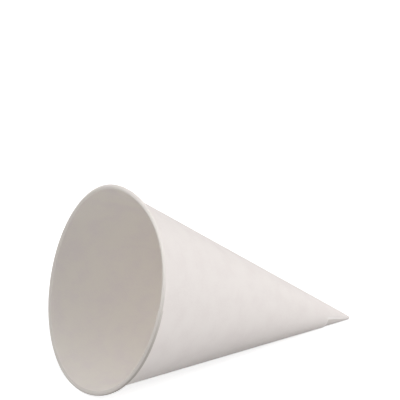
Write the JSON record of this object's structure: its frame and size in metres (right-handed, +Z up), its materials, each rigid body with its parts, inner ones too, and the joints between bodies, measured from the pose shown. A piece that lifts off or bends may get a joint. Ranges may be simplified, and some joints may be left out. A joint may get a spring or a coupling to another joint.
{
  "type": "cone paper cup",
  "caption": "Cone-shaped paper drinking cup with a rolled rim and a blunt tip, wound from one sheet and lying on its side.",
  "frame": {"origin": "on the ground under the middle of the box that the lying cup fills", "axes": "+Z up; the cup lies on its lapped side with its mouth towards -X and its tip towards +X; the cup's own axis is in the XZ plane and rises 19.2 degrees from the tip to the mouth"},
  "size_m": [0.1048, 0.07, 0.066],
  "materials": {
    "white_paper": "matt bleached paper, uncoated, with a faint fibre texture"
  },
  "bodies": {
    "root": {"cone_cup": "white_paper"}
  },
  "joints": []
}
